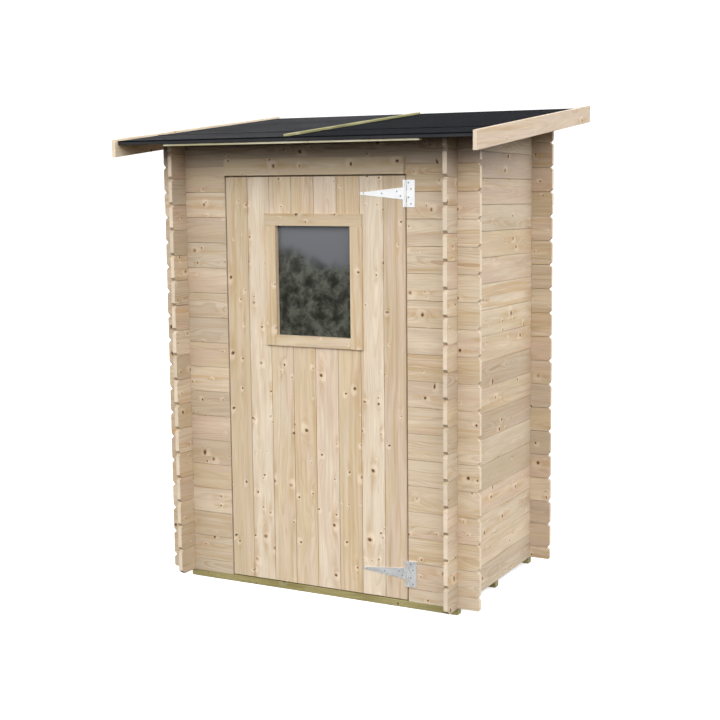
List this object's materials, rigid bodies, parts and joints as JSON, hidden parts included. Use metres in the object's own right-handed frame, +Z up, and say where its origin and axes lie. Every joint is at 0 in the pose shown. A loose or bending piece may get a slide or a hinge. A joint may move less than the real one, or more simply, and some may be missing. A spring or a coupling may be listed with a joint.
{
  "type": "log-board garden shed",
  "caption": "Small garden storage shed of notched horizontal log boards on treated bearers, with a lean-to felt roof and a hinged plank door with a fixed window.",
  "frame": {"origin": "on the ground at the centre of the shed's overall plan", "axes": "+Z up, -Y out of the front wall with the door, +X to the right as seen from the front; the roof rises towards +Y"},
  "size_m": [1.776, 1.346, 2.2085],
  "materials": {
    "wall_boards": "planed, unfinished spruce",
    "planed_softwood": "planed, unfinished spruce",
    "inner_softwood": "planed, unfinished spruce",
    "treated_softwood": "pressure-treated, sawn",
    "roofing_felt": "matt bitumen felt with fine mineral grit",
    "galvanised_steel": "galvanised, dull",
    "glass": "clear pane"
  },
  "bodies": {
    "shed": {"bearer_front": "treated_softwood", "bearer_middle": "treated_softwood", "bearer_back": "treated_softwood", "floor_boards": "inner_softwood", "front_wall_left": "wall_boards", "front_wall_right": "wall_boards", "front_wall_over_door": "wall_boards", "back_wall": "wall_boards", "left_wall": "wall_boards", "right_wall": "wall_boards", "door_head_trim": "planed_softwood", "door_post_left": "inner_softwood", "door_post_right": "inner_softwood", "door_stop_head": "inner_softwood", "hinge_plate_upper": "galvanised_steel", "hinge_plate_lower": "galvanised_steel", "roof_boards_left": "inner_softwood", "roof_boards_right": "inner_softwood", "roof_felt_left": "roofing_felt", "roof_felt_right": "roofing_felt", "roof_seam_batten": "treated_softwood", "eave_batten_front": "treated_softwood", "eave_batten_back": "treated_softwood", "barge_board_left": "planed_softwood", "barge_board_right": "planed_softwood"},
    "door": {"door_plank_1": "planed_softwood", "door_plank_2": "planed_softwood", "door_plank_3": "planed_softwood", "door_planks_over_window": "planed_softwood", "door_planks_under_window": "planed_softwood", "door_plank_6": "planed_softwood", "door_plank_7": "planed_softwood", "door_plank_8": "planed_softwood", "window_glass": "glass", "window_surround_top": "planed_softwood", "window_surround_bottom": "planed_softwood", "window_surround_left": "planed_softwood", "window_surround_right": "planed_softwood", "window_frame_top": "inner_softwood", "window_frame_bottom": "inner_softwood", "window_frame_left": "inner_softwood", "window_frame_right": "inner_softwood", "door_ledge_top": "inner_softwood", "door_ledge_middle": "inner_softwood", "door_ledge_bottom": "inner_softwood", "door_brace": "inner_softwood", "hinge_strap_upper": "galvanised_steel", "hinge_strap_lower": "galvanised_steel"}
  },
  "joints": [
    {"name": "door_hinge", "type": "hinge", "parent": "shed", "child": "door", "pos_m": [0.455, -0.4355, 0.153], "axis": [0, 0, 1], "range_deg": [0, 150]}
  ]
}
